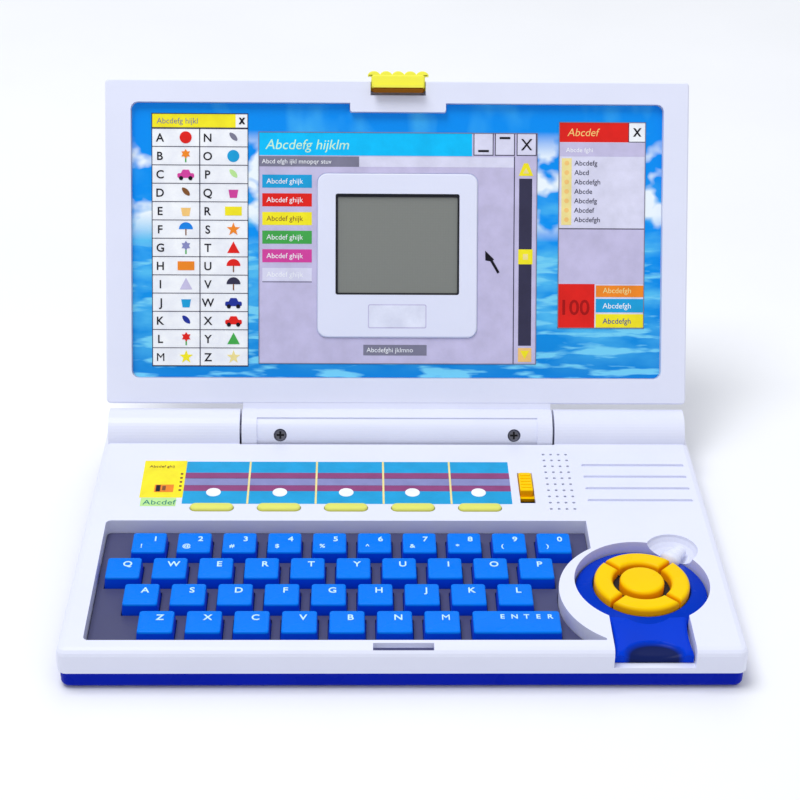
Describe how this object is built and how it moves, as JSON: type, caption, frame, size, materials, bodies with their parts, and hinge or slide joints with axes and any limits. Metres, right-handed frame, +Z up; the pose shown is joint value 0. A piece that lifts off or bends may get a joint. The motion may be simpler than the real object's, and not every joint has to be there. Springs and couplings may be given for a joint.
{
  "type": "toy laptop computer",
  "caption": "Toy laptop with a hinged lid, small display, sunken keyboard, lift-out mouse with round pads, mode buttons and a sliding latch.",
  "frame": {"origin": "under the middle of the open laptop, at the foot pads' faces", "axes": "+X to the right of the person using it and along the hinge, +Y away from them, +Z up"},
  "size_m": [0.254, 0.2298, 0.1542],
  "materials": {
    "white_plastic": "satin, faintly blue-white",
    "blue_plastic": "satin dark blue",
    "key_blue": "satin bright blue",
    "yellow_plastic": "satin yellow",
    "dark_plastic": "matt slate",
    "display_glass": "grey display behind clear plastic",
    "circuit_board": "green lacquer",
    "speaker_steel": "plain"
  },
  "bodies": {
    "base": {"base_tray": "blue_plastic", "deck": "white_plastic", "battery_door": "blue_plastic", "key_bed": "dark_plastic", "main_board": "circuit_board", "speaker": "speaker_steel"},
    "lid": {"lid_front": "white_plastic", "lid_back": "white_plastic", "lcd_module": "display_glass"},
    "latch": {"latch": "yellow_plastic"},
    "mouse": {"mouse_shell": "blue_plastic", "mouse_lead_boot": "white_plastic"},
    "slide_switch": {"slide_switch": "yellow_plastic"},
    "mouse_pad_centre": {"mouse_pad_centre": "yellow_plastic"},
    "mouse_pad_up": {"mouse_pad_up": "yellow_plastic"},
    "mouse_pad_down": {"mouse_pad_down": "yellow_plastic"},
    "mouse_pad_left": {"mouse_pad_left": "yellow_plastic"},
    "mouse_pad_right": {"mouse_pad_right": "yellow_plastic"},
    "mode_button_1": {"mode_button_1": "yellow_plastic"},
    "mode_button_2": {"mode_button_2": "yellow_plastic"},
    "mode_button_3": {"mode_button_3": "yellow_plastic"},
    "mode_button_4": {"mode_button_4": "yellow_plastic"},
    "mode_button_5": {"mode_button_5": "yellow_plastic"},
    "key_1": {"key_1": "key_blue"},
    "key_2": {"key_2": "key_blue"},
    "key_3": {"key_3": "key_blue"},
    "key_4": {"key_4": "key_blue"},
    "key_5": {"key_5": "key_blue"},
    "key_6": {"key_6": "key_blue"},
    "key_7": {"key_7": "key_blue"},
    "key_8": {"key_8": "key_blue"},
    "key_9": {"key_9": "key_blue"},
    "key_0": {"key_0": "key_blue"},
    "key_q": {"key_q": "key_blue"},
    "key_w": {"key_w": "key_blue"},
    "key_e": {"key_e": "key_blue"},
    "key_r": {"key_r": "key_blue"},
    "key_t": {"key_t": "key_blue"},
    "key_y": {"key_y": "key_blue"},
    "key_u": {"key_u": "key_blue"},
    "key_i": {"key_i": "key_blue"},
    "key_o": {"key_o": "key_blue"},
    "key_p": {"key_p": "key_blue"},
    "key_a": {"key_a": "key_blue"},
    "key_s": {"key_s": "key_blue"},
    "key_d": {"key_d": "key_blue"},
    "key_f": {"key_f": "key_blue"},
    "key_g": {"key_g": "key_blue"},
    "key_h": {"key_h": "key_blue"},
    "key_j": {"key_j": "key_blue"},
    "key_k": {"key_k": "key_blue"},
    "key_l": {"key_l": "key_blue"},
    "key_z": {"key_z": "key_blue"},
    "key_x": {"key_x": "key_blue"},
    "key_c": {"key_c": "key_blue"},
    "key_v": {"key_v": "key_blue"},
    "key_b": {"key_b": "key_blue"},
    "key_n": {"key_n": "key_blue"},
    "key_m": {"key_m": "key_blue"},
    "key_enter": {"key_enter": "key_blue"}
  },
  "joints": [
    {"name": "lid_hinge", "type": "hinge", "parent": "base", "child": "lid", "pos_m": [0, 0.03512, 0.018], "axis": [-1, 0, 0], "range_deg": [-118, 0]},
    {"name": "latch_slide", "type": "slide", "parent": "lid", "child": "latch", "axis": [0, -0.4695, -0.8829], "range_m": [0, 0.0015]},
    {"name": "mouse_lift", "type": "slide", "parent": "base", "child": "mouse", "axis": [0, 0, 1], "range_m": [0, 0.03]},
    {"name": "switch_slide", "type": "slide", "parent": "base", "child": "slide_switch", "axis": [0, -1, 0], "range_m": [0, 0.007]},
    {"name": "mouse_pad_centre_press", "type": "slide", "parent": "mouse", "child": "mouse_pad_centre", "axis": [0, 0, -1], "range_m": [0, 0.0012], "stiffness_N_per_m": 250, "springref_m": -0.0012},
    {"name": "mouse_pad_up_press", "type": "slide", "parent": "mouse", "child": "mouse_pad_up", "axis": [0, 0, -1], "range_m": [0, 0.0012], "stiffness_N_per_m": 250, "springref_m": -0.0012},
    {"name": "mouse_pad_down_press", "type": "slide", "parent": "mouse", "child": "mouse_pad_down", "axis": [0, 0, -1], "range_m": [0, 0.0012], "stiffness_N_per_m": 250, "springref_m": -0.0012},
    {"name": "mouse_pad_left_press", "type": "slide", "parent": "mouse", "child": "mouse_pad_left", "axis": [0, 0, -1], "range_m": [0, 0.0012], "stiffness_N_per_m": 250, "springref_m": -0.0012},
    {"name": "mouse_pad_right_press", "type": "slide", "parent": "mouse", "child": "mouse_pad_right", "axis": [0, 0, -1], "range_m": [0, 0.0012], "stiffness_N_per_m": 250, "springref_m": -0.0012},
    {"name": "mode_button_1_press", "type": "slide", "parent": "base", "child": "mode_button_1", "axis": [0, 0, -1], "range_m": [0, 0.0012], "stiffness_N_per_m": 250, "springref_m": -0.0012},
    {"name": "mode_button_2_press", "type": "slide", "parent": "base", "child": "mode_button_2", "axis": [0, 0, -1], "range_m": [0, 0.0012], "stiffness_N_per_m": 250, "springref_m": -0.0012},
    {"name": "mode_button_3_press", "type": "slide", "parent": "base", "child": "mode_button_3", "axis": [0, 0, -1], "range_m": [0, 0.0012], "stiffness_N_per_m": 250, "springref_m": -0.0012},
    {"name": "mode_button_4_press", "type": "slide", "parent": "base", "child": "mode_button_4", "axis": [0, 0, -1], "range_m": [0, 0.0012], "stiffness_N_per_m": 250, "springref_m": -0.0012},
    {"name": "mode_button_5_press", "type": "slide", "parent": "base", "child": "mode_button_5", "axis": [0, 0, -1], "range_m": [0, 0.0012], "stiffness_N_per_m": 250, "springref_m": -0.0012},
    {"name": "key_1_press", "type": "slide", "parent": "base", "child": "key_1", "axis": [0, 0, -1], "range_m": [0, 0.0022], "stiffness_N_per_m": 200, "springref_m": -0.0015},
    {"name": "key_2_press", "type": "slide", "parent": "base", "child": "key_2", "axis": [0, 0, -1], "range_m": [0, 0.0022], "stiffness_N_per_m": 200, "springref_m": -0.0015},
    {"name": "key_3_press", "type": "slide", "parent": "base", "child": "key_3", "axis": [0, 0, -1], "range_m": [0, 0.0022], "stiffness_N_per_m": 200, "springref_m": -0.0015},
    {"name": "key_4_press", "type": "slide", "parent": "base", "child": "key_4", "axis": [0, 0, -1], "range_m": [0, 0.0022], "stiffness_N_per_m": 200, "springref_m": -0.0015},
    {"name": "key_5_press", "type": "slide", "parent": "base", "child": "key_5", "axis": [0, 0, -1], "range_m": [0, 0.0022], "stiffness_N_per_m": 200, "springref_m": -0.0015},
    {"name": "key_6_press", "type": "slide", "parent": "base", "child": "key_6", "axis": [0, 0, -1], "range_m": [0, 0.0022], "stiffness_N_per_m": 200, "springref_m": -0.0015},
    {"name": "key_7_press", "type": "slide", "parent": "base", "child": "key_7", "axis": [0, 0, -1], "range_m": [0, 0.0022], "stiffness_N_per_m": 200, "springref_m": -0.0015},
    {"name": "key_8_press", "type": "slide", "parent": "base", "child": "key_8", "axis": [0, 0, -1], "range_m": [0, 0.0022], "stiffness_N_per_m": 200, "springref_m": -0.0015},
    {"name": "key_9_press", "type": "slide", "parent": "base", "child": "key_9", "axis": [0, 0, -1], "range_m": [0, 0.0022], "stiffness_N_per_m": 200, "springref_m": -0.0015},
    {"name": "key_0_press", "type": "slide", "parent": "base", "child": "key_0", "axis": [0, 0, -1], "range_m": [0, 0.0022], "stiffness_N_per_m": 200, "springref_m": -0.0015},
    {"name": "key_q_press", "type": "slide", "parent": "base", "child": "key_q", "axis": [0, 0, -1], "range_m": [0, 0.0022], "stiffness_N_per_m": 200, "springref_m": -0.0015},
    {"name": "key_w_press", "type": "slide", "parent": "base", "child": "key_w", "axis": [0, 0, -1], "range_m": [0, 0.0022], "stiffness_N_per_m": 200, "springref_m": -0.0015},
    {"name": "key_e_press", "type": "slide", "parent": "base", "child": "key_e", "axis": [0, 0, -1], "range_m": [0, 0.0022], "stiffness_N_per_m": 200, "springref_m": -0.0015},
    {"name": "key_r_press", "type": "slide", "parent": "base", "child": "key_r", "axis": [0, 0, -1], "range_m": [0, 0.0022], "stiffness_N_per_m": 200, "springref_m": -0.0015},
    {"name": "key_t_press", "type": "slide", "parent": "base", "child": "key_t", "axis": [0, 0, -1], "range_m": [0, 0.0022], "stiffness_N_per_m": 200, "springref_m": -0.0015},
    {"name": "key_y_press", "type": "slide", "parent": "base", "child": "key_y", "axis": [0, 0, -1], "range_m": [0, 0.0022], "stiffness_N_per_m": 200, "springref_m": -0.0015},
    {"name": "key_u_press", "type": "slide", "parent": "base", "child": "key_u", "axis": [0, 0, -1], "range_m": [0, 0.0022], "stiffness_N_per_m": 200, "springref_m": -0.0015},
    {"name": "key_i_press", "type": "slide", "parent": "base", "child": "key_i", "axis": [0, 0, -1], "range_m": [0, 0.0022], "stiffness_N_per_m": 200, "springref_m": -0.0015},
    {"name": "key_o_press", "type": "slide", "parent": "base", "child": "key_o", "axis": [0, 0, -1], "range_m": [0, 0.0022], "stiffness_N_per_m": 200, "springref_m": -0.0015},
    {"name": "key_p_press", "type": "slide", "parent": "base", "child": "key_p", "axis": [0, 0, -1], "range_m": [0, 0.0022], "stiffness_N_per_m": 200, "springref_m": -0.0015},
    {"name": "key_a_press", "type": "slide", "parent": "base", "child": "key_a", "axis": [0, 0, -1], "range_m": [0, 0.0022], "stiffness_N_per_m": 200, "springref_m": -0.0015},
    {"name": "key_s_press", "type": "slide", "parent": "base", "child": "key_s", "axis": [0, 0, -1], "range_m": [0, 0.0022], "stiffness_N_per_m": 200, "springref_m": -0.0015},
    {"name": "key_d_press", "type": "slide", "parent": "base", "child": "key_d", "axis": [0, 0, -1], "range_m": [0, 0.0022], "stiffness_N_per_m": 200, "springref_m": -0.0015},
    {"name": "key_f_press", "type": "slide", "parent": "base", "child": "key_f", "axis": [0, 0, -1], "range_m": [0, 0.0022], "stiffness_N_per_m": 200, "springref_m": -0.0015},
    {"name": "key_g_press", "type": "slide", "parent": "base", "child": "key_g", "axis": [0, 0, -1], "range_m": [0, 0.0022], "stiffness_N_per_m": 200, "springref_m": -0.0015},
    {"name": "key_h_press", "type": "slide", "parent": "base", "child": "key_h", "axis": [0, 0, -1], "range_m": [0, 0.0022], "stiffness_N_per_m": 200, "springref_m": -0.0015},
    {"name": "key_j_press", "type": "slide", "parent": "base", "child": "key_j", "axis": [0, 0, -1], "range_m": [0, 0.0022], "stiffness_N_per_m": 200, "springref_m": -0.0015},
    {"name": "key_k_press", "type": "slide", "parent": "base", "child": "key_k", "axis": [0, 0, -1], "range_m": [0, 0.0022], "stiffness_N_per_m": 200, "springref_m": -0.0015},
    {"name": "key_l_press", "type": "slide", "parent": "base", "child": "key_l", "axis": [0, 0, -1], "range_m": [0, 0.0022], "stiffness_N_per_m": 200, "springref_m": -0.0015},
    {"name": "key_z_press", "type": "slide", "parent": "base", "child": "key_z", "axis": [0, 0, -1], "range_m": [0, 0.0022], "stiffness_N_per_m": 200, "springref_m": -0.0015},
    {"name": "key_x_press", "type": "slide", "parent": "base", "child": "key_x", "axis": [0, 0, -1], "range_m": [0, 0.0022], "stiffness_N_per_m": 200, "springref_m": -0.0015},
    {"name": "key_c_press", "type": "slide", "parent": "base", "child": "key_c", "axis": [0, 0, -1], "range_m": [0, 0.0022], "stiffness_N_per_m": 200, "springref_m": -0.0015},
    {"name": "key_v_press", "type": "slide", "parent": "base", "child": "key_v", "axis": [0, 0, -1], "range_m": [0, 0.0022], "stiffness_N_per_m": 200, "springref_m": -0.0015},
    {"name": "key_b_press", "type": "slide", "parent": "base", "child": "key_b", "axis": [0, 0, -1], "range_m": [0, 0.0022], "stiffness_N_per_m": 200, "springref_m": -0.0015},
    {"name": "key_n_press", "type": "slide", "parent": "base", "child": "key_n", "axis": [0, 0, -1], "range_m": [0, 0.0022], "stiffness_N_per_m": 200, "springref_m": -0.0015},
    {"name": "key_m_press", "type": "slide", "parent": "base", "child": "key_m", "axis": [0, 0, -1], "range_m": [0, 0.0022], "stiffness_N_per_m": 200, "springref_m": -0.0015},
    {"name": "key_enter_press", "type": "slide", "parent": "base", "child": "key_enter", "axis": [0, 0, -1], "range_m": [0, 0.0022], "stiffness_N_per_m": 200, "springref_m": -0.0015}
  ]
}
